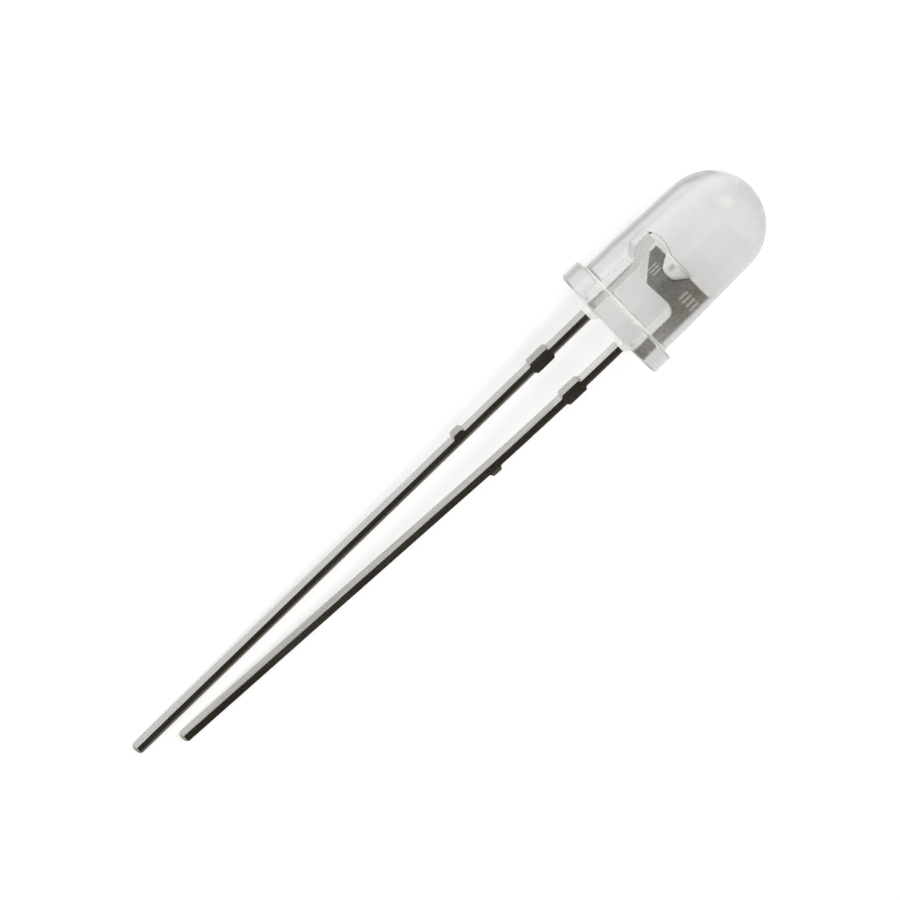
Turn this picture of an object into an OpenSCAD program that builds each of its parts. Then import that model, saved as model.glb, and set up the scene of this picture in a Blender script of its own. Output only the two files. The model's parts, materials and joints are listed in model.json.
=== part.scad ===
// Clear 5 mm through-hole LED: a cast epoxy lens around a stamped lead frame, with the chip,
// its paste, its top electrode and the bond wire inside.
// The pieces are drawn in the lens's own frame: X from the cathode lead to the anode lead,
// Y through the stamped sheet and Z along the lens axis to the dome, with zero at the seating face.
// The whole LED is then laid down on its flange rim and both lead tips, with +Z up.

/* [Lens] */
// Diameter of the barrel just above the flange
lens_d = 5.0; // [4.6:0.1:5.6]
// Diameter of the barrel where the dome begins
dome_d = 4.78; // [4.4:0.02:4.9]
// Height of the lens from the seating face to the top of the dome
lens_h = 8.6; // [7.6:0.1:9.8]
// Length of the straight part of the barrel above the flange
seat_len = 1.5; // [0.8:0.1:1.8]
// Diameter of the flange
flange_d = 5.8; // [5.7:0.05:6.2]
// Thickness of the flange
flange_h = 1.0; // [0.7:0.05:1.3]
// Radius of the flange's rounded edges
flange_round = 0.14; // [0.05:0.01:0.2]
// Ledge left between the barrel and the flat that marks the cathode
flat_ledge = 0.08; // [0.04:0.01:0.12]
// Height of the epoxy that creeps up each lead
collar_h = 0.34; // [0.15:0.01:0.5]
// Spread of that epoxy past the lead at the seating face
collar_spread = 0.26; // [0.15:0.01:0.32]

/* [Leads] */
// Thickness of the stamped sheet
sheet_t = 0.45; // [0.4:0.01:0.5]
// Width of a lead
lead_w = 0.45; // [0.4:0.01:0.5]
// Spacing of the leads at the lens
pitch = 2.54; // [2.3:0.02:2.6]
// Length of the anode lead below the seating face
anode_len = 27.5; // [22:0.5:32]
// Length of the cathode lead below the seating face
cathode_len = 25.8; // [20:0.1:27]
// Angle by which the cathode lead ends up leaning off the lens axis
lean = 2.6; // [1:0.05:3.6]
// Direction of that lean: 0 is towards the anode lead, 90 is square to the sheet
lean_turn = 39; // [20:1:80]
// Length of the bend in which the cathode lead takes up that lean
bend_len = 10; // [6:0.5:14]
// Width of the bevel round each lead's cut end
tip_bevel = 0.1; // [0.04:0.01:0.12]

/* [Tie bar stubs] */
// Distance from the seating face to the middle of the upper stubs
upper_drop = 3.1; // [2.4:0.1:4]
// Length of the upper stubs along the lead
upper_len = 1.17; // [0.8:0.01:1.4]
// How far the upper stubs stand proud of both sides of the lead
upper_proud = 0.15; // [0.08:0.01:0.2]
// Distance from the seating face to the middle of the lower stubs
lower_drop = 7.9; // [6.5:0.1:9.5]
// Length of the lower stubs along the lead
lower_len = 0.68; // [0.4:0.01:1]
// How far the lower stubs stand proud of the lead's outer side
lower_proud = 0.2; // [0.08:0.01:0.25]
// Length of the sloping end of a stub
stub_slope = 0.1; // [0.04:0.01:0.15]

/* [Lead frame heads] */
// Height of the anvil's and the post's top above the seating face
head_top = 4.05; // [3.8:0.05:4.4]
// Height of the anvil at its toe, on the anode side
anvil_h = 1.62; // [1.4:0.02:1.8]
// Reach of the anvil's toe past the lens axis
anvil_toe = 0.3; // [0.1:0.02:0.4]
// Height of the upright ends where the anvil and the post face each other
nose_h = 0.55; // [0.4:0.05:0.7]
// Radius in the corner between the anvil and its leg
anvil_fillet = 0.36; // [0.2:0.02:0.4]
// Gap between the anvil and the post
head_gap = 0.15; // [0.12:0.01:0.2]
// Width of the post's top
post_w = 0.79; // [0.7:0.01:0.84]
// Height of the post over its leg, in which it jogs outwards
post_h = 1.3; // [1.2:0.02:1.5]
// Height of the post's upright outer side
post_side_h = 0.85; // [0.7:0.05:1]
// Epoxy left between the post and the surface of the barrel
post_cover = 0.19; // [0.15:0.01:0.3]

/* [Reflector cup] */
// Outer diameter of the cup at its rim
cup_d = 1.4; // [1.3:0.02:1.5]
// Height of the cup's outside on the anvil's faces
cup_h = 0.7; // [0.6:0.02:0.8]
// Outer diameter of the cup at its foot, before the foot is rounded
cup_foot_d = 0.68; // [0.6:0.02:0.8]
// Radius of the rounded foot
cup_foot_r = 0.22; // [0.1:0.02:0.24]
// Wall of the cup at its rim
cup_lip = 0.08; // [0.05:0.01:0.1]
// Depth of the cup inside
cup_depth = 0.42; // [0.35:0.01:0.46]
// Diameter of the cup's floor
cup_floor_d = 0.58; // [0.5:0.01:0.62]

/* [Chip and wire] */
// Side of the square chip
chip_w = 0.3; // [0.22:0.01:0.32]
// Height of the chip
chip_h = 0.18; // [0.1:0.01:0.22]
// Thickness of the paste under the chip
paste_t = 0.03; // [0.02:0.005:0.05]
// Spread of the paste past the chip's corners
paste_spread = 0.02; // [0.01:0.005:0.025]
// Diameter of the chip's top electrode
pad_d = 0.14; // [0.1:0.01:0.18]
// Thickness of the chip's top electrode
pad_t = 0.02; // [0.01:0.005:0.03]
// Diameter of the bond wire
wire_d = 0.038; // [0.036:0.002:0.05]
// Diameter of the ball at each end of the wire
ball_d = 0.14; // [0.1:0.01:0.16]
// Height of the wire's loop over its two ends
loop_rise = 0.24; // [0.2:0.02:0.4]

/* [Hidden] */
$fn = 96;

// Heights along the lens axis
dome_z = lens_h - dome_d / 2;
seat_z = flange_h + seat_len;
cup_floor_z = head_top - cup_depth;
chip_z = cup_floor_z + paste_t;
pad_z = chip_z + chip_h;
wire_z = pad_z + pad_t;

// Places across the leads
lead_x = pitch / 2;
leg_in = lead_x - lead_w / 2;
leg_out = lead_x + lead_w / 2;
post_out = dome_d / 2 - post_cover;
post_in = post_out - post_w;
anvil_tip = post_in - head_gap;
post_x = post_in + post_w / 2;

// Rise of the anvil's underside from its toe to its leg
toe_slope = 0.08;
// Radius of a corner as it leaves the stamping die
die_r = 0.05;
// Radii of the anvil's corners that face the post, and of the post's bends
nose_r = 0.16;
chin_r = 0.12;
post_bend_r = 0.3;
shoulder_r = 0.1;
// Thickness of the crept epoxy where it ends at a lead's corners
collar_edge = 0.03;
// Points on a corner's arc, and steps along the bend of the cathode lead
arc_steps = 6;
bend_steps = 10;
// Slack that carries a cut past the face that it opens
cut = 0.5;

function unit(v) = v / norm(v);

// Points of the arc of radius r that rounds corner b between points a and c
function corner(a, b, c, r) =
    r == 0 ? [b] :
    let (
        u = unit(a - b),
        v = unit(c - b),
        half = acos(u * v) / 2,
        centre = b + unit(u + v) * r / sin(half),
        from = b + u * r / tan(half) - centre,
        to = b + v * r / tan(half) - centre,
        turn = (180 - 2 * half) * sign(cross(from, to))
    )
    [for (i = [0:arc_steps]) let (t = turn * i / arc_steps)
        centre + [from.x * cos(t) - from.y * sin(t), from.x * sin(t) + from.y * cos(t)]];

// An outline of [x, z, radius] corners as plain points
function rounded(path) =
    let (n = len(path), p = [for (q = path) [q.x, q.y]])
    [for (i = [0:n - 1]) each corner(p[(i + n - 1) % n], p[i], p[(i + 1) % n], path[i].z)];

// How far a lead that ends up leaning by the angle a has drifted, at the distance d below the
// seating face
function drift(d, a) =
    a == 0 ? 0 :
    let (r = bend_len * 180 / (PI * a))
    d < bend_len ? r * (1 - cos(a * d / bend_len))
                 : r * (1 - cos(a)) + (d - bend_len) * tan(a);

// The same as a shift along X and Y
function sway(d, a) = drift(d, a) * [cos(lean_turn), -sin(lean_turn)];

// From the cathode's tip to the anode's, across the leads and along them
tip_gap = [pitch, 0] - sway(cathode_len - tip_bevel, lean);
tip_step = anode_len - cathode_len;

// Roll of the LED about the lens axis at which both tips touch the floor, for a given pitch
function roll_at(nose_up) =
    asin(tan(nose_up) * tip_step / norm(tip_gap)) - atan2(tip_gap.y, tip_gap.x);

// The pitch that brings the rounded flange rim and the anode's tip to the floor together
function pitch_at(nose_up, turns) =
    turns == 0 ? nose_up :
    let (
        roll = roll_at(nose_up),
        rim = flange_d / 2 - flange_round + flange_round * (1 - sin(nose_up)) / cos(nose_up),
        tip = lead_w / 2 * abs(sin(roll)) + sheet_t / 2 * cos(roll) - lead_x * sin(roll)
    )
    pitch_at(atan((rim - tip) / (anode_len - tip_bevel)), turns - 1);

// Direction of the floor's normal as the LED lies on its flange and both tips
nose_up = pitch_at(5, 20);
roll = roll_at(nose_up);
up = [sin(roll) * cos(nose_up), cos(roll) * cos(nose_up), sin(nose_up)];
ahead = unit([0, 0, 1] - up.z * up);
aside = cross(up, ahead);

// Lays the LED down: the dome points along +X, the anode lead is on the +Y side
module lay() {
    multmatrix([concat(ahead, 0), concat(aside, 0), concat(up, 0), [0, 0, 0, 1]]) children();
}

// A sheet-metal shape: an outline across X and Z, centred on the middle of the sheet
module sheet() {
    rotate([90, 0, 0]) linear_extrude(height = sheet_t, center = true) children();
}

// ---- Lens ----

// Half section of the flange, with its two edges rounded
module flange_section() {
    r = flange_d / 2;
    inner = r - flange_round;
    square([inner, flange_h]);
    translate([0, flange_round]) square([r, flange_h - 2 * flange_round]);
    for (z = [flange_round, flange_h - flange_round])
        translate([inner, z]) circle(flange_round);
}

// Half section of the straight seat, the tapered barrel and the dome
module barrel_section() {
    polygon([[0, 0], [lens_d / 2, 0], [lens_d / 2, seat_z], [dome_d / 2, dome_z], [0, dome_z]]);
    intersection() {
        translate([0, dome_z]) circle(dome_d / 2);
        translate([0, dome_z]) square(dome_d);
    }
}

module lens_body() {
    difference() {
        rotate_extrude() {
            flange_section();
            barrel_section();
        }
        translate([-lens_d / 2 - flat_ledge - flange_d, -flange_d / 2, -cut])
            cube([flange_d, flange_d, flange_h + 2 * cut]);
    }
    for (side = [-1, 1]) translate([side * lead_x, 0, -collar_h]) collar();
}

// Epoxy that has crept up a lead
module collar() {
    edge = norm([lead_w, sheet_t]) / 2;
    cylinder(h = collar_h, r1 = edge + collar_edge, r2 = edge + collar_spread);
}

module epoxy_lens() {
    color([0.93, 0.95, 0.97, 0.35]) lay() difference() {
        lens_body();
        cathode_shape();
        anode_shape();
        paste_shape();
        chip_shape();
        pad_shape();
        wire_shape();
    }
}

// ---- Lead frame ----

// Stations along a lead, each as [distance below the seating face, how far its inner side stands
// proud, its outer side, its two faces]
function bend_stations(from, to, a) = a == 0 ? [] : [
    for (i = [1:bend_steps]) let (d = bend_len * i / bend_steps)
        if (d > from && d < to) [d, 0, 0, 0]
];

function stub_stations(drop, length, inner, outer) = [
    [drop - length / 2, 0, 0, 0],
    [drop - length / 2 + stub_slope, inner, outer, 0],
    [drop + length / 2 - stub_slope, inner, outer, 0],
    [drop + length / 2, 0, 0, 0]
];

function lead_stations(length, a) = concat(
    [[0, 0, 0, 0]],
    bend_stations(0, upper_drop - upper_len / 2, a),
    stub_stations(upper_drop, upper_len, upper_proud, upper_proud),
    bend_stations(upper_drop + upper_len / 2, lower_drop - lower_len / 2, a),
    stub_stations(lower_drop, lower_len, 0, lower_proud),
    bend_stations(lower_drop + lower_len / 2, length, a),
    [[length - tip_bevel, 0, 0, 0], [length, -tip_bevel, -tip_bevel, -tip_bevel]]
);

// The four corners of the lead at a station, going round from its low X and low Y
function ring(side, s, a) =
    let (
        shift = sway(s[0], a),
        low = side * lead_x + shift.x - lead_w / 2 - (side < 0 ? s[2] : s[1]),
        high = side * lead_x + shift.x + lead_w / 2 + (side < 0 ? s[1] : s[2]),
        face = sheet_t / 2 + s[3]
    )
    [[low, shift.y - face, -s[0]], [high, shift.y - face, -s[0]],
     [high, shift.y + face, -s[0]], [low, shift.y + face, -s[0]]];

// A lead with its stubs, square in section. Each of its faces is flat.
module lead_shape(side, length, a) {
    stations = lead_stations(length, a);
    last = len(stations) - 1;
    polyhedron(
        points = [for (s = stations) each ring(side, s, a)],
        faces = concat(
            [[3, 2, 1, 0]],
            [for (i = [0:last - 1], k = [0:3]) let (n = (k + 1) % 4)
                [4 * i + k, 4 * i + n, 4 * i + 4 + n, 4 * i + 4 + k]],
            [[4 * last, 4 * last + 1, 4 * last + 2, 4 * last + 3]]
        )
    );
}

// Outline of the cathode inside the lens: its leg and the anvil that holds the cup
module anvil_outline() {
    toe_z = head_top - anvil_h;
    polygon(rounded([
        [-leg_out, 0, 0],
        [-leg_out, head_top, die_r],
        [anvil_tip, head_top, nose_r],
        [anvil_tip, head_top - nose_h, chin_r],
        [anvil_toe, toe_z, die_r],
        [-leg_in, toe_z + toe_slope, anvil_fillet],
        [-leg_in, 0, 0]
    ]));
}

// The reflector cup stands through the anvil, on the lens axis
module cathode_shape() {
    difference() {
        union() {
            sheet() anvil_outline();
            lead_shape(-1, cathode_len, lean);
            rotate_extrude() cup_section();
        }
        cup_hollow();
    }
}

// Half section of the cup's outside, with its foot rounded
module cup_section() {
    foot_z = head_top - cup_h;
    polygon(rounded([
        [0, foot_z, 0],
        [cup_foot_d / 2, foot_z, cup_foot_r],
        [cup_d / 2, head_top, 0],
        [0, head_top, 0]
    ]));
}

// The inside of the cup, carried up past its rim along the same slope
module cup_hollow() {
    mouth_d = cup_d - 2 * cup_lip;
    flare = (mouth_d - cup_floor_d) / cup_depth;
    translate([0, 0, cup_floor_z])
        cylinder(h = 2 * cup_depth, d1 = cup_floor_d, d2 = cup_floor_d + 2 * cup_depth * flare);
}

module cathode_frame() {
    color([0.62, 0.62, 0.6]) lay() cathode_shape();
}

// Outline of the anode inside the lens: its leg and the post that takes the wire
module post_outline() {
    root_z = head_top - post_h;
    polygon(rounded([
        [leg_in, 0, 0],
        [leg_in, root_z, post_bend_r],
        [post_in, head_top - nose_h, post_bend_r],
        [post_in, head_top, die_r],
        [post_out, head_top, die_r],
        [post_out, head_top - post_side_h, post_bend_r],
        [leg_out, root_z, shoulder_r],
        [leg_out, 0, 0]
    ]));
}

module anode_shape() {
    sheet() post_outline();
    lead_shape(1, anode_len, 0);
}

module anode_frame() {
    color([0.62, 0.62, 0.6]) lay() anode_shape();
}

// ---- Chip ----

// Silver paste that holds the chip to the cup's floor
module paste_shape() {
    translate([0, 0, cup_floor_z])
        cylinder(h = paste_t, r = chip_w / sqrt(2) + paste_spread);
}

module die_attach() {
    color([0.75, 0.75, 0.74]) lay() paste_shape();
}

module chip_shape() {
    translate([-chip_w / 2, -chip_w / 2, chip_z]) cube([chip_w, chip_w, chip_h]);
}

module led_chip() {
    color([0.75, 0.72, 0.45]) lay() chip_shape();
}

module pad_shape() {
    translate([0, 0, pad_z]) cylinder(h = pad_t, d = pad_d);
}

module top_electrode() {
    color([0.85, 0.68, 0.3]) lay() pad_shape();
}

// ---- Bond wire ----

// A ball pressed flat on the surface at its foot
module ball() {
    intersection() {
        translate([0, 0, ball_d / 4]) sphere(d = ball_d);
        cylinder(h = ball_d, d = 2 * ball_d);
    }
}

// The wire loops in one arc from the ball on the chip to the ball on the post
module wire_shape() {
    start = [0, wire_z + ball_d / 2];
    end = [post_x, head_top + ball_d / 2];
    chord = norm(end - start);
    r = (chord * chord / 4 + loop_rise * loop_rise) / (2 * loop_rise);
    half = asin(chord / 2 / r);
    tilt = atan2(end.y - start.y, end.x - start.x);
    translate([0, 0, wire_z]) ball();
    translate([post_x, 0, head_top]) ball();
    translate([start.x, 0, start.y]) rotate([0, -tilt, 0])
        translate([chord / 2, 0, loop_rise - r]) rotate([90, 0, 0])
            rotate([0, 0, 90 - half]) rotate_extrude(angle = 2 * half)
                translate([r, 0]) circle(d = wire_d);
}

module bond_wire() {
    color([0.85, 0.68, 0.3]) lay() wire_shape();
}

epoxy_lens();
cathode_frame();
anode_frame();
die_attach();
led_chip();
top_electrode();
bond_wire();
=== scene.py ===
"""Looks for the clear 5 mm through-hole LED: a cast lens with smooth epoxy collars, bevelled and
plated lead frames, procedural materials, a pale floor, studio light and the camera."""

import json
import math

import bmesh
import bpy
from mathutils import Matrix, Vector
from mathutils.geometry import delaunay_2d_cdt


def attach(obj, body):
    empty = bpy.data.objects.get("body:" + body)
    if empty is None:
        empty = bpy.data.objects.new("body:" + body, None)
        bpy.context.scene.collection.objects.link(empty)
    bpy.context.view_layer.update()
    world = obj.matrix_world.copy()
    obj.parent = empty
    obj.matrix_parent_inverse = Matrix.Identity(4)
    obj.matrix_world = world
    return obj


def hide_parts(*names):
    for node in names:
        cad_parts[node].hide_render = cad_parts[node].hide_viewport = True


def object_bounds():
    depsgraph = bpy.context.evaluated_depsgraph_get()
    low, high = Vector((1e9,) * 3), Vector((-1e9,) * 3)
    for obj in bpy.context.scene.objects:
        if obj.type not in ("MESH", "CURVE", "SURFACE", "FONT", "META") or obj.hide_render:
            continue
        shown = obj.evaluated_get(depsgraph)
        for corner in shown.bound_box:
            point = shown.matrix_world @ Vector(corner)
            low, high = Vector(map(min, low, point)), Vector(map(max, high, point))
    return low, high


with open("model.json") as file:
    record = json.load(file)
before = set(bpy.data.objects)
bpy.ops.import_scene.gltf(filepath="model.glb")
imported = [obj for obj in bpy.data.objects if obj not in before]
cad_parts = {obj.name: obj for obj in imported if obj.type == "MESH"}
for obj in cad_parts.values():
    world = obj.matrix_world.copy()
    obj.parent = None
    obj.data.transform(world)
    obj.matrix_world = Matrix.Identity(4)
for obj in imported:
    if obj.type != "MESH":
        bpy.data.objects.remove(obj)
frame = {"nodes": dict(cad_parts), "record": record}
cad_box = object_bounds()

MM = 0.001

# ---- The LED's own frame, from the record: ACROSS from cathode to anode, FACE through the
# stamped sheet, AXIS along the lens to the dome, all from the middle of the seating face.
mounts = {m["name"]: m for m in frame["record"]["mounts"]}
AXIS = Vector(mounts["lens_barrel"]["axis"]).normalized()
shoulder = Vector(mounts["flange_shoulder"]["pos_m"])
FACE = (shoulder - AXIS * shoulder.dot(AXIS)).normalized()
ACROSS = FACE.cross(AXIS).normalized()
LED = Matrix((ACROSS, FACE, AXIS)).transposed().to_4x4()

# ---- Sizes in millimetres, as in the CAD ----

BARREL_R = 2.5
DOME_R = 2.39
LENS_H = 8.6
SEAT_TOP = 2.5
FLANGE_R = 2.9
FLANGE_H = 1.0
FLANGE_ROUND = 0.14
FLAT_X = -2.58
COLLAR_H = 0.34
LEAD_X = 1.27
LEAD_HALF = 0.225
STUB_DROP = 3.1
STUB_HALF = 0.585
HEAD_TOP = 4.05
CUP_H = 0.7
POST_X = 1.805

# ---- Sizes in millimetres that only the scene has ----

FILLET = 0.10
COLLAR_REACH = 0.30
# How much fuller a collar is than a plain parabola
COLLAR_FULLNESS = 0.35
EDGE_ROUND = 0.055
# The mesh of the underside: the two grids' steps, how far the fine one reaches past a collar,
# and the gaps that the loose one leaves to the fine one and to the rim
LOOSE_STEP = 0.3
FINE_STEP = 0.025
FINE_MARGIN = 0.05
GRID_GAP = 0.1
RIM_GAP = 0.08
# Score lines on the anvil's front: the field's middle across and up, half its width and height,
# and how many lines it has
SCORE_FIELDS = (
    (0.50, 3.12, 0.19, 0.26, 3),
    (-1.12, 3.20, 0.26, 0.27, 4),
)

SPOKES = 360
# The angle from which two faces meet in a visible corner
CORNER = math.radians(35)

# ---- Tones, as linear red, green and blue ----

EPOXY_GREY = (0.68, 0.68, 0.68)
EPOXY_PALE = (0.71, 0.71, 0.715)
# Painted highlight: a lighter, cooler epoxy tint for one band in the lens
EPOXY_HIGHLIGHT_TINT = (0.745, 0.77, 0.80)
EPOXY_SHADOW = (0.82, 0.82, 0.82)
MILK = (0.94, 0.94, 0.90)
MILK_PALE = (0.98, 0.98, 0.95)
FACE_STAIN = (0.32, 0.26, 0.20)
# Painted sheen: a lighter matte tone for a band along one side of a lead, outside the lens
PAINTED_SHEEN = (0.60, 0.55, 0.46)
STUB_SIDE = (0.22, 0.21, 0.18)
CUT_END = (0.20, 0.19, 0.12)
CAST_IN_EDGE = (0.95, 0.95, 0.93)
SILVER = (0.98, 0.98, 0.96)
SILVER_STREAK = (0.92, 0.92, 0.90)
ANVIL_BROWN = (0.34, 0.29, 0.24)
ANVIL_DARK = (0.21, 0.205, 0.18)
ANVIL_PALE = (0.40, 0.41, 0.36)
# Painted shade in the corner round the anvil's cup
PAINTED_CORNER_SHADE = (0.06, 0.06, 0.045)
# Painted shade on the cup: a dark reflection streak and the shadow under its rim
CUP_PAINTED_SHADE = (0.34, 0.34, 0.33)
# Painted shade along the anode leg's outer border inside the lens
LEG_BORDER_SHADE = (0.27, 0.28, 0.29)
# Bright tones of the score lines and of the painted highlight along the anvil's borders
BRIGHT_METAL = (0.95, 0.93, 0.90)
BRIGHT_MATTE = (0.92, 0.91, 0.88)
# Darker tone at the bond wire's end on the post
BOND_DARK = (0.10, 0.09, 0.08)
FLOOR = (0.80, 0.80, 0.80)
FLOOR_PALE = (0.82, 0.82, 0.82)
SKY = (1, 1, 1)
DARK_CARD = (0.035, 0.035, 0.030)
WINDOW_LIGHT = (3.4, 3.2, 2.9)

# How far the camera and the lamp are from the LED, in metres
STUDIO_R = 0.50
# Share of white haze in the epoxy's surface
HAZE = 0.05
# Cosines to the sheet's own direction between which a surface starts to count as its flat face
FLAT_ON = (0.86, 0.97)


def as_object(bm, name):
    """Turns a bmesh into a linked object."""
    mesh = bpy.data.meshes.new(name)
    bm.to_mesh(mesh)
    bm.free()
    obj = bpy.data.objects.new(name, mesh)
    bpy.context.scene.collection.objects.link(obj)
    return obj


# ---- Lens ----

def quarter(steps):
    """Angles from 0 to 90 degrees in even steps."""
    return [math.radians(90 * i / steps) for i in range(steps + 1)]


def lens_profile():
    """Points (radius, height) from the edge of the underside up the dome, in mm. The dome's
    top isn't among them."""
    inner = FLANGE_R - FLANGE_ROUND
    points = [(inner + FLANGE_ROUND * math.sin(a), FLANGE_ROUND * (1 - math.cos(a)))
              for a in quarter(8)]
    points += [(inner + FLANGE_ROUND * math.cos(a), FLANGE_H - FLANGE_ROUND * (1 - math.sin(a)))
               for a in quarter(8)]
    points += [(BARREL_R + FILLET * (1 - math.sin(a)), FLANGE_H + FILLET * (1 - math.cos(a)))
               for a in quarter(12)]
    dome_z = LENS_H - DOME_R
    taper_steps = 6
    for i in range(taper_steps):
        t = i / taper_steps
        points.append((BARREL_R + (DOME_R - BARREL_R) * t, SEAT_TOP + (dome_z - SEAT_TOP) * t))
    points += [(DOME_R * math.cos(a), dome_z + DOME_R * math.sin(a)) for a in quarter(48)[:-1]]
    return points


def spoke_angles():
    """Even angles round the lens, with the two corners of the flat among them."""
    corner = math.acos(FLAT_X / FLANGE_R)
    angles = [2 * math.pi * i / SPOKES for i in range(SPOKES)]
    for exact in (corner, 2 * math.pi - corner):
        nearest = min(range(SPOKES), key=lambda i: abs(angles[i] - exact))
        angles[nearest] = exact
    return angles


def build_wall(bm):
    """Revolves the profile, with the flat cut off its flange, and closes the top. Returns the
    lowest ring."""
    angles = spoke_angles()
    rings = []
    for r, z in lens_profile():
        ring = []
        for a in angles:
            x, y = r * math.cos(a), r * math.sin(a)
            if z <= FLANGE_H:
                x = max(x, FLAT_X)
            ring.append(bm.verts.new((x * MM, y * MM, z * MM)))
        rings.append(ring)
    pairs = [(i, (i + 1) % SPOKES) for i in range(SPOKES)]
    for low, high in zip(rings, rings[1:]):
        for i, k in pairs:
            bm.faces.new((low[i], low[k], high[k], high[i]))
    top = bm.verts.new((0, 0, LENS_H * MM))
    for i, k in pairs:
        bm.faces.new((rings[-1][i], rings[-1][k], top))
    return rings[0]


def creep(x, y):
    """Depth of the epoxy below the underside at a place, where it has crept down the leads."""
    depth = 0.0
    for side in (-1, 1):
        dx = max(abs(x - side * LEAD_X) - LEAD_HALF, 0)
        dy = max(abs(y) - LEAD_HALF, 0)
        t = min(math.hypot(dx, dy) / COLLAR_REACH, 1)
        depth = max(depth, COLLAR_H * (1 - t) ** 2 * (1 + COLLAR_FULLNESS * t))
    return depth


def grid(left, low, step, count):
    """Places (x, y) of a square grid with count points to a side."""
    return [(left + i * step, low + k * step) for i in range(count) for k in range(count)]


def underside_places():
    """Places (x, y) inside the underside, in mm: a loose grid, and a fine one round each lead
    that carries its collar."""
    reach = LEAD_HALF + COLLAR_REACH + FINE_MARGIN
    limit = FLANGE_R - FLANGE_ROUND - RIM_GAP

    def open_place(x, y):
        beside = reach + GRID_GAP
        near = any(abs(x - side * LEAD_X) < beside and abs(y) < beside for side in (-1, 1))
        return not near and math.hypot(x, y) < limit and x > FLAT_X + RIM_GAP

    loose_count = int(2 * FLANGE_R / LOOSE_STEP) + 1
    places = [p for p in grid(-FLANGE_R, -FLANGE_R, LOOSE_STEP, loose_count) if open_place(*p)]
    fine_count = round(2 * reach / FINE_STEP) + 1
    for side in (-1, 1):
        places += grid(side * LEAD_X - reach, -reach, FINE_STEP, fine_count)
    return places


def close_underside(bm, rim):
    """Fills the underside between the rim's vertices and draws it down into the collars."""
    points = [Vector((v.co.x / MM, v.co.y / MM)) for v in rim]
    points += [Vector(place) for place in underside_places()]
    edges = [(i, (i + 1) % len(rim)) for i in range(len(rim))]
    inside_rim = 1
    tolerance = 1e-5
    flat, _, triangles, sources, _, _ = delaunay_2d_cdt(
        points, edges, [], inside_rim, tolerance)
    verts = []
    for p, source in zip(flat, sources):
        if source[0] < len(rim):
            verts.append(rim[source[0]])
        else:
            verts.append(bm.verts.new((p.x * MM, p.y * MM, -creep(p.x, p.y) * MM)))
    for triangle in triangles:
        bm.faces.new([verts[i] for i in triangle])


def build_lens():
    """The lens as one closed mesh, smooth apart from its corners."""
    bm = bmesh.new()
    close_underside(bm, build_wall(bm))
    # Where the flange's top ends on the middle of the flat, two rings meet in one point
    bmesh.ops.remove_doubles(bm, verts=bm.verts, dist=0.0001 * MM)
    bmesh.ops.recalc_face_normals(bm, faces=bm.faces)
    for face in bm.faces:
        face.smooth = True
    for edge in bm.edges:
        edge.smooth = edge.calc_face_angle() <= CORNER
    bm.transform(LED)
    return as_object(bm, "clear_lens")


# ---- Node trees ----

class Nodes:
    """The node tree of a material or a world, with short calls for the nodes used here."""

    def __init__(self, owner, output):
        owner.use_nodes = True
        self.owner = owner
        self.tree = owner.node_tree
        self.tree.nodes.clear()
        self.out = self.add(output)

    def add(self, kind, inputs=None, **settings):
        """Adds a node. Each input gets a socket to be linked to, or a number, way or tone."""
        node = self.tree.nodes.new("ShaderNode" + kind)
        for key, value in settings.items():
            setattr(node, key, value)
        for key, value in (inputs or {}).items():
            socket = node.inputs[key]
            if isinstance(value, bpy.types.NodeSocket):
                self.tree.links.new(value, socket)
            elif socket.type == "RGBA":
                socket.default_value = (*value, 1)
            else:
                socket.default_value = value
        return node

    def shader(self, kind, inputs):
        return self.add(kind, inputs).outputs[0]

    def blend(self, share, a, b):
        """The shader a, with a share of the shader b."""
        return self.shader("MixShader", {0: share, 1: a, 2: b})

    def finish(self, surface):
        self.tree.links.new(surface, self.out.inputs["Surface"])
        return self.owner

    def math(self, operation, first, *others):
        """One Math node, or a chain of them where there are more than two values."""
        result = first
        for other in others or (0.0,):
            result = self.add("Math", {0: result, 1: other}, operation=operation).outputs[0]
        return result

    def times(self, *values):
        return self.math("MULTIPLY", *values)

    def most(self, *values):
        return self.math("MAXIMUM", *values)

    def minus(self, a, b):
        return self.math("SUBTRACT", a, b)

    def off(self, value, middle):
        """How far a value is from a middle, either way."""
        return self.math("ABSOLUTE", self.minus(value, middle))

    def span(self, value, low, high, at_low=0.0, at_high=1.0, kind="LINEAR"):
        """Goes from one number at low to another at high, and stays level beyond them."""
        return self.add("MapRange", {"Value": value, "From Min": low, "From Max": high,
                                     "To Min": at_low, "To Max": at_high},
                        clamp=True, interpolation_type=kind).outputs[0]

    def mix(self, share, a, b):
        """The colour a, with a share of the colour b."""
        return self.add("Mix", {"Factor": share, 6: a, 7: b}, data_type="RGBA").outputs[2]

    def dot(self, vector, direction):
        return self.add("VectorMath", {0: vector, 1: direction},
                        operation="DOT_PRODUCT").outputs["Value"]

    def led_place(self, scale):
        """The place in the LED's own frame, in millimetres, times a scale for each axis."""
        place = self.add("TexCoord").outputs["Object"]
        parts = [self.dot(place, axis * (s / MM)) for axis, s in zip((ACROSS, FACE, AXIS), scale)]
        return self.add("CombineXYZ", dict(enumerate(parts))).outputs[0]

    def led_axes(self):
        """How far across, through and up the LED a place is, in millimetres."""
        return self.add("SeparateXYZ", {0: self.led_place((1, 1, 1))}).outputs

    def noise(self, scale, detail=3.0, roughness=0.5):
        """Noise in the LED's own frame, with a scale per millimetre for each axis."""
        return self.add("TexNoise", {"Vector": self.led_place(scale), "Scale": 1.0,
                                     "Detail": detail, "Roughness": roughness}).outputs["Fac"]

    def bump(self, height, strength, distance):
        return self.add("Bump", {"Height": height, "Strength": strength,
                                 "Distance": distance}).outputs[0]


def new_material(name):
    return Nodes(bpy.data.materials.new(name), "OutputMaterial")


def shade(tone, share):
    return tuple(share * c for c in tone)


# ---- Materials ----

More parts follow.
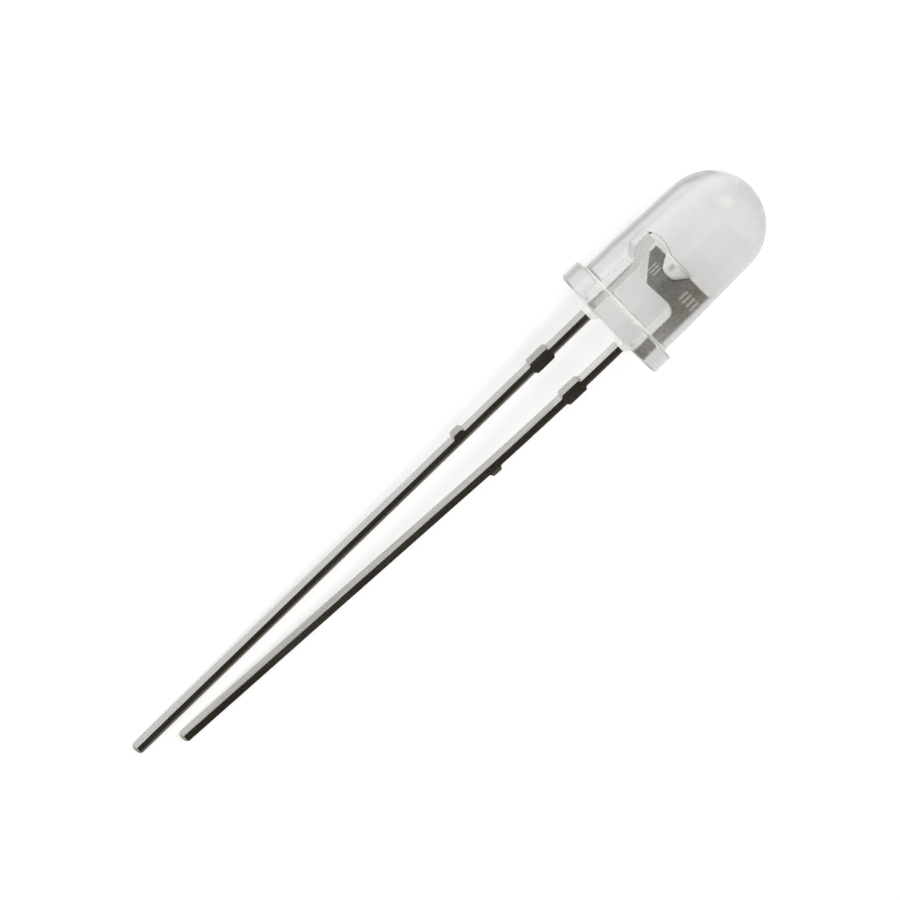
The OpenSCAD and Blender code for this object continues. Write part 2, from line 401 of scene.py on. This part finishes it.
def epoxy():
    """Water-clear cast epoxy, slightly grey, with a thin haze and a painted highlight: one lighter,
    cooler band in its tint. It is frosted on the mould's two edges at the top of the flange and
    milky where it has crept below it."""
    n = new_material("clear_epoxy")
    across, through, up = n.led_axes()
    tint = n.mix(n.span(n.noise((0.6, 0.6, 0.6)), 0.3, 0.7), EPOXY_GREY, EPOXY_PALE)
    # The painted highlight band runs in front of the anode lead, near the side of the barrel
    forward = 0.68
    painted_streak = n.times(n.span(across, 1.0, 2.0),
                     n.span(n.off(through, forward), 0.25, 0.75, 1.0, 0.0))
    waves = n.noise((0.6, 0.6, 0.6), detail=1.0)
    glass = n.shader("BsdfPrincipled", {
        "Base Color": n.mix(painted_streak, tint, EPOXY_HIGHLIGHT_TINT),
        "Roughness": 0.0,
        "IOR": 1.5,
        "Transmission Weight": 1.0,
        "Normal": n.bump(waves, 0.03, 0.2 * MM),
    })

    cloud = n.noise((2.5, 2.5, 2.5), detail=2.0)
    milk = n.shader("BsdfDiffuse", {"Color": n.mix(cloud, MILK, MILK_PALE)})
    haze = n.span(cloud, 0.3, 0.7, HAZE, 1.6 * HAZE)
    crept = n.span(up, -0.08, 0.03, 0.88, 0.0)
    radius = n.add("VectorMath", {0: n.led_place((1, 1, 0))}, operation="LENGTH").outputs["Value"]
    fillet_r = BARREL_R + FILLET
    fillet = n.times(n.span(radius, fillet_r, fillet_r + 0.04, 1.0, 0.0),
                     n.span(n.off(up, FLANGE_H + 0.05), 0.04, 0.07, 0.35, 0.0))
    brim = n.times(n.span(radius, FLANGE_R - 0.12, FLANGE_R - 0.08),
                   n.span(n.off(up, FLANGE_H - 0.05), 0.03, 0.06, 0.22, 0.0))
    body = n.blend(n.most(fillet, brim, crept, haze), glass, milk)

    # Lamp light reaches what lies behind straight through the epoxy, a little dimmed
    clear = n.shader("BsdfTransparent", {"Color": EPOXY_SHADOW})
    return n.finish(n.blend(n.add("LightPath").outputs["Is Shadow Ray"], body, clear))


def score_lines(n, across, up, x, z, half_width, half_height, count):
    """Plain parallel lines in a small field round (x, z), in mm."""
    period = 2 * half_width / (count - 0.5)
    wave = n.math("PINGPONG", n.minus(across, x - half_width - period / 4), period / 2)
    return n.times(n.span(wave, period * 0.22, period * 0.34),
                   n.span(n.off(across, x), half_width - 0.02, half_width, 1.0, 0.0),
                   n.span(n.off(up, z), half_height - 0.02, half_height, 1.0, 0.0))


def anvil_tones(n, across):
    """The anvil's tone: brown toward its leg, darker toward the post, pale at the outer end."""
    anvil_tone = n.mix(n.span(across, -0.95, -0.35), ANVIL_BROWN, ANVIL_DARK)
    return n.mix(n.span(across, -1.62, -1.40, 1.0, 0.0), anvil_tone, ANVIL_PALE)


def corner_shade(n, across, below):
    """Painted shade in the corner between the anvil's face and the cup, from the cup's outline out.
    """
    outline = n.span(below, 0.0, CUP_H, 0.66, 0.27)
    outside = n.most(n.minus(n.math("ABSOLUTE", across), outline), n.minus(below, CUP_H - 0.01))
    return n.span(outside, 0.02, 0.16, 1.0, 0.0)


def cup_shade_marks(n, across, below):
    """Painted shade on the cup: one slanted dark streak, a painted dark reflection on its cone, and
    the rim's shadow painted as a line under it.
    """
    slant = n.span(below, 0.15, 0.65, 0.30, 0.13)
    painted_streak = n.times(n.span(n.off(across, slant), 0.03, 0.13, 0.8, 0.0),
                     n.span(below, 0.40, 0.63, 1.0, 0.0), n.span(below, 0.13, 0.25))
    rim_shadow = n.times(n.span(n.off(below, 0.10), 0.01, 0.04, 0.8, 0.0),
                        n.span(across, 0.15, 0.35, 1.0, 0.0))
    return n.most(painted_streak, rim_shadow)


def plated_metal(name, lead_x, face_tone, edge_tone, inside_tone, leg_tone, inside_matte, sheen,
                 anvil):
    """Stamped and plated sheet: smooth and stained on its two rolled faces, lighter on its
    sheared edges. Outside the lens the face has a painted sheen, a lighter matte band along one
    side of the lead. Inside it the edges and the cup are matte silver, and the face is partly
    matte: in the leg tone low down and in the inside tone above.
    An anvil is darker and lighter in tone across its face, has painted shade round its cup and
    on the cup, plain score lines, and a painted highlight along its top and its outer border.
    A sheet without one has painted shade along its leg's outer border."""
    n = new_material(name)
    across, through, up = n.led_axes()
    below = n.minus(HEAD_TOP, up)
    # From the lead's middle back toward the cathode's side
    aside = n.minus(lead_x, across)
    normal = n.add("NewGeometry").outputs["True Normal"]
    inside = n.span(up, 0.0, 0.4)
    # The cup stands out of both faces of the sheet
    cup = n.times(inside, n.span(n.math("ABSOLUTE", through), LEAD_HALF + 0.007,
                                 LEAD_HALF + 0.025))
    facing = n.math("ABSOLUTE", n.dot(normal, FACE))
    rolled = n.times(n.span(facing, *FLAT_ON), n.minus(1.0, cup))

    streaks = n.noise((14, 14, 0.5), detail=3.0, roughness=0.55)
    grains = n.noise((9, 9, 9), detail=4.0, roughness=0.65)
    clouds = n.noise((0.8, 0.8, 0.35), detail=2.0)
    height = n.math("ADD", n.times(streaks, 0.8), n.times(grains, 0.2))

    face = n.mix(n.span(streaks, 0.35, 0.68), face_tone, shade(face_tone, 0.78))
    face = n.mix(n.span(clouds, 0.38, 0.62, 0.0, 0.7), face, FACE_STAIN)
    edge = n.mix(n.span(streaks, 0.3, 0.7), edge_tone, shade(edge_tone, 0.8))
    # The stubs' sides are dull, most of all toward the cathode's side, and so are the cut ends
    stub_side = n.most(n.span(aside, -0.26, -0.24, 0.35, 0.0), n.span(aside, 0.24, 0.26, 0.0, 0.85))
    edge = n.mix(stub_side, edge, STUB_SIDE)
    cut_end = n.times(n.span(up, -20.0, -19.0, 1.0, 0.0), n.span(n.dot(normal, -AXIS), 0.5, 0.7))
    edge = n.mix(cut_end, edge, CUT_END)
    edge = n.mix(inside, edge, CAST_IN_EDGE)
    dull = n.mix(streaks, inside_tone, shade(inside_tone, 0.86))
    dull = n.mix(n.span(up, 1.6, 2.6, 1.0, 0.0), dull, leg_tone)
    # Outside the lens the matte tone is the painted sheen's lighter tone
    dull = n.mix(inside, PAINTED_SHEEN, dull)
    silver = n.mix(streaks, SILVER, SILVER_STREAK)

    lines_and_highlight = 0.0
    if anvil:
        head = n.span(up, 2.0, 2.7)
        anvil_tone = anvil_tones(n, across)
        # Painted shade in the corner round the cup
        crevice_shade = n.times(corner_shade(n, across, below), head)
        dull = n.mix(crevice_shade, n.mix(head, dull, anvil_tone), PAINTED_CORNER_SHADE)
        face = n.mix(crevice_shade, n.mix(n.times(head, 0.6), face, anvil_tone), PAINTED_CORNER_SHADE)
        # Painted shade on the cup: a dark reflection streak and the shadow under its rim
        silver = n.mix(n.times(cup_shade_marks(n, across, below), cup), silver, CUP_PAINTED_SHADE)
        lines = n.most(*(score_lines(n, across, up, *field) for field in SCORE_FIELDS))
        lines = n.times(lines, 0.75, n.span(n.dot(normal, FACE), *FLAT_ON), rolled)
        # Painted highlight: a bright band along the anvil's top and its outer border, in the score
        # lines' bright tones
        edge_highlight = n.most(n.span(below, 0.12, 0.16, 1.0, 0.0),
                         n.span(aside, LEAD_HALF - 0.09, LEAD_HALF - 0.06, 0.0, 0.7))
        lines_and_highlight = n.most(lines, n.times(edge_highlight, inside, n.minus(1.0, cup)))
        face = n.mix(n.times(lines_and_highlight, 0.6), face, BRIGHT_METAL)
        dull = n.mix(lines_and_highlight, dull, BRIGHT_MATTE)
        height = n.minus(height, n.times(lines_and_highlight, 1.5))
    else:
        # Painted shade: a darker band along the leg's outer border, inside the lens
        shaded_border = n.times(n.span(aside, -0.18, -0.04, 0.9, 0.0),
                         n.span(up, 2.3, 2.6, 1.0, 0.0), inside)
        dull = n.mix(shaded_border, dull, LEG_BORDER_SHADE)

    metal = n.shader("BsdfPrincipled", {
        "Base Color": n.mix(rolled, edge, face),
        "Metallic": 1.0,
        "Roughness": n.span(grains, 0.3, 0.7, 0.24, 0.32),
        "Normal": n.bump(height, 0.15, 0.01 * MM),
    })
    matte = n.shader("BsdfDiffuse", {"Color": n.mix(rolled, silver, dull)})

    # Inside the lens, the rounded corners between face and edge stay bright metal
    share = n.most(n.span(facing, 0.05, 0.25, 0.93, 0.2), n.times(cup, 0.9))
    share = n.math("ADD", share, n.times(rolled, n.minus(inside_matte, share)))
    # Outside it, the painted sheen band ends at the lead's side, and the broad stubs have none
    sheen_band = n.times(rolled, n.span(aside, 0.04, 0.18, 0.0, sheen),
                   n.span(aside, LEAD_HALF, LEAD_HALF + 0.02, 1.0, 0.0),
                   n.span(n.off(up, -STUB_DROP), STUB_HALF - 0.05, STUB_HALF + 0.05),
                   n.minus(1.0, inside))
    share = n.math("ADD", n.times(share, inside), sheen_band)
    return n.finish(n.blend(n.most(share, n.times(lines_and_highlight, 0.8)), metal, matte))


def speckled(name, tone, dark, scale, metallic, rough, bump, dark_post_end=False):
    """A small piece with a grain of its own, and, where asked, a darker tone at its end on the
    post.
    """
    n = new_material(name)
    grain = n.noise((scale, scale, scale), detail=4.0, roughness=0.6)
    color = n.mix(n.span(grain, 0.35, 0.65), tone, dark)
    if dark_post_end:
        across = n.led_axes()[0]
        color = n.mix(n.span(across, POST_X - 0.14, POST_X - 0.08), color, BOND_DARK)
    return n.finish(n.shader("BsdfPrincipled", {
        "Base Color": color,
        "Metallic": metallic,
        "Roughness": n.span(grain, 0.3, 0.7, rough, rough + 0.15),
        "Normal": n.bump(grain, bump, 0.004 * MM),
    }))


def floor_card():
    """A pale card that camera, mirrored and refracted rays see as white."""
    n = new_material("floor")
    tone = n.mix(n.noise((0.02, 0.02, 0.02), detail=1.0), FLOOR, FLOOR_PALE)
    path = n.add("LightPath").outputs
    seen = n.most(path["Is Camera Ray"], path["Is Glossy Ray"],
                  n.times(path["Is Transmission Ray"], 0.8))
    return n.finish(n.shader("AddShader", {
        0: n.shader("BsdfDiffuse", {"Color": tone}),
        1: n.shader("Emission", {"Strength": n.times(seen, 0.33)}),
    }))


# ---- The pieces ----

def dress(obj, material):
    obj.data.materials.clear()
    obj.data.materials.append(material)


def crisp(obj, width):
    """Rounds a stamped piece's sharp edges a little, on top of its CAD mesh, and keeps the
    flat faces flat in their shading."""
    weld = obj.modifiers.new("weld", "WELD")
    weld.merge_threshold = 0.001 * MM
    flat = obj.modifiers.new("flat", "DECIMATE")
    flat.decimate_type = "DISSOLVE"
    flat.angle_limit = math.radians(0.5)
    bevel = obj.modifiers.new("bevel", "BEVEL")
    bevel.width = width
    bevel.segments = 5
    bevel.limit_method = "ANGLE"
    bevel.angle_limit = CORNER
    bevel.use_clamp_overlap = False
    split = obj.modifiers.new("split", "EDGE_SPLIT")
    split.split_angle = math.radians(24)
    weighted = obj.modifiers.new("weighted", "WEIGHTED_NORMAL")
    weighted.keep_sharp = True
    for polygon in obj.data.polygons:
        polygon.use_smooth = True


nodes = frame["nodes"]
lens = build_lens()
dress(lens, epoxy())
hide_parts("epoxy_lens")
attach(lens, "root")

# The cathode's edges get a lighter tone than the anode's: painted light that makes up for the
# shadowed floor between the leads, which they reflect
dress(nodes["cathode_frame"], plated_metal(
    "plated_cathode", -LEAD_X, face_tone=(0.60, 0.54, 0.45), edge_tone=(0.74, 0.74, 0.72),
    inside_tone=(0.34, 0.31, 0.28), leg_tone=(0.58, 0.575, 0.52), inside_matte=0.30, sheen=0.10,
    anvil=True))
dress(nodes["anode_frame"], plated_metal(
    "plated_anode", LEAD_X, face_tone=(0.50, 0.47, 0.38), edge_tone=(0.58, 0.58, 0.57),
    inside_tone=(0.86, 0.86, 0.82), leg_tone=(0.77, 0.78, 0.75), inside_matte=0.8, sheen=0.30,
    anvil=False))
for stamped in ("cathode_frame", "anode_frame"):
    crisp(nodes[stamped], EDGE_ROUND * MM)

dress(nodes["die_attach"], speckled(
    "silver_paste", (0.72, 0.72, 0.71), (0.5, 0.5, 0.48), scale=30, metallic=0.6, rough=0.5,
    bump=0.6))
dress(nodes["led_chip"], speckled(
    "chip_crystal", (0.72, 0.70, 0.48), (0.6, 0.56, 0.34), scale=12, metallic=0.1, rough=0.25,
    bump=0.2))
dress(nodes["top_electrode"], speckled(
    "gold_electrode", (0.84, 0.70, 0.46), (0.74, 0.60, 0.38), scale=25, metallic=1.0, rough=0.18,
    bump=0.2))
dress(nodes["bond_wire"], speckled(
    "gold_wire", (0.84, 0.72, 0.50), (0.76, 0.64, 0.42), scale=25, metallic=1.0, rough=0.18,
    bump=0.2, dark_post_end=True))


# ---- Floor, world and lamp ----

def build_floor():
    """A round floor under the LED, wide enough to fill the camera's view."""
    bm = bmesh.new()
    bmesh.ops.create_circle(bm, cap_ends=True, segments=96, radius=1.5)
    obj = as_object(bm, "floor")
    obj.location = (0, 0, cad_box[0].z)
    return obj


def build_world():
    """A studio that is white all round, apart from a dark card and a window. The card is long:
    it starts low beyond the LED, where it is paler, and passes over it to end above the camera.
    The window is warm, and low beyond the dome on the camera's side."""
    world = bpy.data.worlds.new("studio")
    n = Nodes(world, "OutputWorld")
    way = n.add("TexCoord").outputs["Generated"]
    x, y, z = n.add("SeparateXYZ", {0: way}).outputs

    def within(value, outside, inside):
        return n.span(value, outside, inside, kind="SMOOTHSTEP")

    far_end = n.most(within(y, -0.80, -0.66), n.times(within(y, -0.99, -0.93), 0.45))
    card = n.times(within(x, -0.82, -0.62), within(x, 0.42, 0.26), far_end,
                   within(y, 0.70, 0.56), within(z, 0.0, 0.2))
    toward_window = (0.84, 0.525, 0.139)
    window = within(n.dot(way, toward_window), 0.92, 1.0)
    sky = n.mix(window, n.mix(card, SKY, DARK_CARD), WINDOW_LIGHT)
    n.finish(n.shader("Background", {"Color": sky}))
    return world


def build_key_lamp():
    """A soft box close above the camera. Metal and glass don't show it."""
    data = bpy.data.lights.new("key", "AREA")
    data.size = 0.30
    data.energy = 1.60
    obj = bpy.data.objects.new("key", data)
    obj.visible_glossy = False
    obj.visible_transmission = False
    azimuth, elevation = math.radians(92), math.radians(42)
    way = Vector((math.cos(azimuth) * math.cos(elevation),
                  math.sin(azimuth) * math.cos(elevation),
                  math.sin(elevation)))
    obj.location = way * STUDIO_R
    obj.rotation_euler = way.to_track_quat("Z", "Y").to_euler()
    return obj


def build_camera():
    """Looks at the LED from the photo's side, with the lens's axis at the photo's slope."""
    toward = (AXIS * 0.04 + ACROSS * 0.626 + FACE * 0.778).normalized()
    along = (AXIS - toward * AXIS.dot(toward)).normalized()
    over = toward.cross(along)
    slope = math.radians(44.05)
    right = along * math.cos(slope) - over * math.sin(slope)
    upward = along * math.sin(slope) + over * math.cos(slope)
    # The picture's width at the LED, and its middle, left of and below the seating face
    frame_width = 38.96 * MM
    middle = -right * (6.84 * MM) - upward * (5.411 * MM)
    data = bpy.data.cameras.new("camera")
    data.sensor_width = 36
    data.lens = data.sensor_width * STUDIO_R / frame_width
    data.clip_start = 0.01
    data.clip_end = 10
    obj = bpy.data.objects.new("camera", data)
    turn = Matrix((right, upward, toward)).transposed().to_4x4()
    obj.matrix_world = Matrix.Translation(middle + toward * STUDIO_R) @ turn
    return obj


floor = build_floor()
dress(floor, floor_card())

scene = bpy.context.scene
scene.world = build_world()
scene.collection.objects.link(build_key_lamp())
scene.camera = build_camera()
scene.collection.objects.link(scene.camera)
scene.view_settings.view_transform = "Standard"
